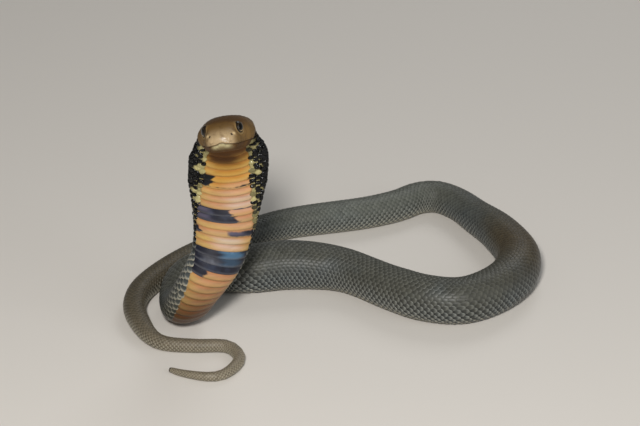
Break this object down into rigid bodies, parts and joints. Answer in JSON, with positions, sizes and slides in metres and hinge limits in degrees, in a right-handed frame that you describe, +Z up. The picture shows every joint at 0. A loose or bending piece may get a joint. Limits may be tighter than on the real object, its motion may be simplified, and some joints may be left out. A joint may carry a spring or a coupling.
{
  "type": "spitting cobra model",
  "caption": "Life-size still model of a spitting cobra reared up with spread hood, body in a loose loop on the floor.",
  "frame": {"origin": "centre of the footprint of the whole snake, at floor height", "axes": "+Z up, -Y the way the belly of the reared part faces, +X along the long loop of the body"},
  "size_m": [0.22, 0.1842, 0.1366],
  "materials": {
    "head_skin": "large smooth scales, satin",
    "hood_skin": "satin belly plates, ochre to peach with blue-black bars, glossy black scales at the hood's sides",
    "back_skin": "smooth overlapping scales, slate to olive brown, satin",
    "eye": "wet gloss, dark with a thin pale ring"
  },
  "bodies": {
    "root": {"head": "head_skin", "eye_left": "eye", "eye_right": "eye", "hood": "hood_skin", "neck": "hood_skin", "forebody": "hood_skin", "trunk_01": "back_skin", "trunk_02": "back_skin", "trunk_03": "back_skin", "trunk_04": "back_skin", "trunk_05": "back_skin", "trunk_06": "back_skin", "trunk_07": "back_skin", "trunk_08": "back_skin", "trunk_09": "back_skin", "trunk_10": "back_skin", "trunk_11": "back_skin", "trunk_12": "back_skin", "tail_1": "back_skin", "tail_2": "back_skin", "tail_3": "back_skin", "tail_4": "back_skin", "tail_5": "back_skin", "tail_6": "back_skin"}
  },
  "joints": []
}
